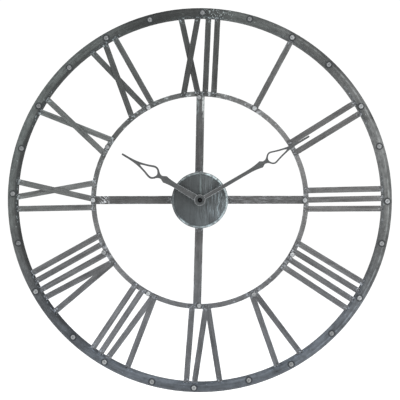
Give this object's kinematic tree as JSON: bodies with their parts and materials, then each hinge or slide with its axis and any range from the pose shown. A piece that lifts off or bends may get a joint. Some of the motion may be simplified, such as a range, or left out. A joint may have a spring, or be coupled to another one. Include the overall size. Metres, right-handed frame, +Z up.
{
  "type": "wall clock",
  "caption": "Round open-frame metal wall clock with welded flat-bar Roman numerals between two rings, four spokes, a cup-shaped hub hiding a quartz movement, and pierced spade hands.",
  "frame": {"origin": "centre of the hanger hole behind the top of the outer ring, in the wall plane; the dial centre is 340 mm straight below it", "axes": "+Z up, +X to the viewer's right, -Y out of the wall towards the viewer; the hands turn about Y"},
  "size_m": [0.6999, 0.0392, 0.7],
  "materials": {
    "frame_steel": "distressed dark grey, brushed and worn to bare metal at edges and welds",
    "hub_steel": "distressed dark grey with pale vertical brushed streaks",
    "stud_steel": "worn grey, lighter than the frame",
    "hand_metal": "dark grey, satin, worn edges",
    "case_plastic": "black moulded, fine texture",
    "gasket_rubber": "matt",
    "brass": "turned",
    "board_laminate": "solder-masked laminate",
    "plated_metal": "nickel plated",
    "core_iron": "stamped soft iron",
    "bobbin_plastic": "natural moulded",
    "copper_wire": "enamelled copper",
    "battery_jacket": "plain printed-free sleeve over steel can",
    "gear_plastic": "natural acetal",
    "rotor_magnet": "sintered magnet on a plastic pinion",
    "knob_plastic": "moulded, fluted rim"
  },
  "bodies": {
    "frame": {"outer_ring": "frame_steel", "outer_ring_studs": "stud_steel", "inner_ring": "frame_steel", "spoke_top": "frame_steel", "spoke_right": "frame_steel", "spoke_bottom": "frame_steel", "spoke_left": "frame_steel", "numeral_1": "frame_steel", "numeral_2": "frame_steel", "numeral_3": "frame_steel", "numeral_4": "frame_steel", "numeral_5": "frame_steel", "numeral_6": "frame_steel", "numeral_7": "frame_steel", "numeral_8": "frame_steel", "numeral_9": "frame_steel", "numeral_10": "frame_steel", "numeral_11": "frame_steel", "numeral_12": "frame_steel", "inner_ring_studs": "stud_steel", "hub_cup": "hub_steel", "wall_hanger": "frame_steel", "movement_case": "case_plastic", "movement_rear_cover": "case_plastic", "train_plate": "case_plastic", "gasket": "gasket_rubber", "stem_washer": "brass", "stem_nut": "brass", "circuit_board": "board_laminate", "quartz_crystal": "plated_metal", "stator_plate": "core_iron", "coil_core": "core_iron", "coil_bobbin": "bobbin_plastic", "coil_winding": "copper_wire", "battery_contact_positive": "plated_metal", "battery_contact_negative": "plated_metal"},
    "minute_arbor_group": {"minute_arbor": "brass", "minute_hand": "hand_metal", "hand_nut": "hand_metal"},
    "hour_pipe_group": {"hour_wheel": "gear_plastic", "hour_hand": "hand_metal"},
    "motion_work": {"motion_wheel": "gear_plastic", "setting_knob": "knob_plastic"},
    "centre_wheel_group": {"centre_wheel": "gear_plastic"},
    "third_wheel_group": {"third_wheel": "gear_plastic"},
    "fourth_wheel_group": {"fourth_wheel": "gear_plastic"},
    "intermediate_wheel_group": {"intermediate_wheel": "gear_plastic"},
    "rotor_group": {"rotor": "rotor_magnet"},
    "battery_group": {"battery": "battery_jacket"}
  },
  "joints": [
    {"name": "minute_hand_spin", "type": "hinge", "parent": "frame", "child": "minute_arbor_group", "pos_m": [0, 0, -0.34], "axis": [0, 1, 0], "continuous": true},
    {"name": "hour_hand_spin", "type": "hinge", "parent": "frame", "child": "hour_pipe_group", "pos_m": [0, 0, -0.34], "axis": [0, 1, 0], "continuous": true},
    {"name": "motion_wheel_spin", "type": "hinge", "parent": "frame", "child": "motion_work", "pos_m": [-0.00866, 0, -0.335], "axis": [0, 1, 0], "continuous": true},
    {"name": "rotor_spin", "type": "hinge", "parent": "frame", "child": "rotor_group", "pos_m": [-0.00633, 0, -0.32613], "axis": [0, 1, 0], "continuous": true},
    {"name": "intermediate_wheel_spin", "type": "hinge", "parent": "frame", "child": "intermediate_wheel_group", "pos_m": [-0.00092, 0, -0.32468], "axis": [0, 1, 0], "continuous": true},
    {"name": "fourth_wheel_spin", "type": "hinge", "parent": "frame", "child": "fourth_wheel_group", "pos_m": [0.00508, 0, -0.32468], "axis": [0, 1, 0], "continuous": true},
    {"name": "third_wheel_spin", "type": "hinge", "parent": "frame", "child": "third_wheel_group", "pos_m": [0.00662, 0, -0.33338], "axis": [0, 1, 0], "continuous": true},
    {"name": "centre_wheel_spin", "type": "hinge", "parent": "frame", "child": "centre_wheel_group", "pos_m": [0, 0, -0.34], "axis": [0, 1, 0], "continuous": true},
    {"name": "battery_slide", "type": "slide", "parent": "frame", "child": "battery_group", "axis": [0, 1, 0], "range_m": [0, 0.03]}
  ],
  "couplings": [
    {"joint": "hour_hand_spin", "follows": "minute_hand_spin", "ratio": 0.083333},
    {"joint": "motion_wheel_spin", "follows": "minute_hand_spin", "ratio": -0.33333},
    {"joint": "intermediate_wheel_spin", "follows": "rotor_spin", "ratio": -0.16667},
    {"joint": "fourth_wheel_spin", "follows": "rotor_spin", "ratio": 0.033333},
    {"joint": "third_wheel_spin", "follows": "rotor_spin", "ratio": -0.0044444},
    {"joint": "centre_wheel_spin", "follows": "rotor_spin", "ratio": 0.00055556}
  ]
}
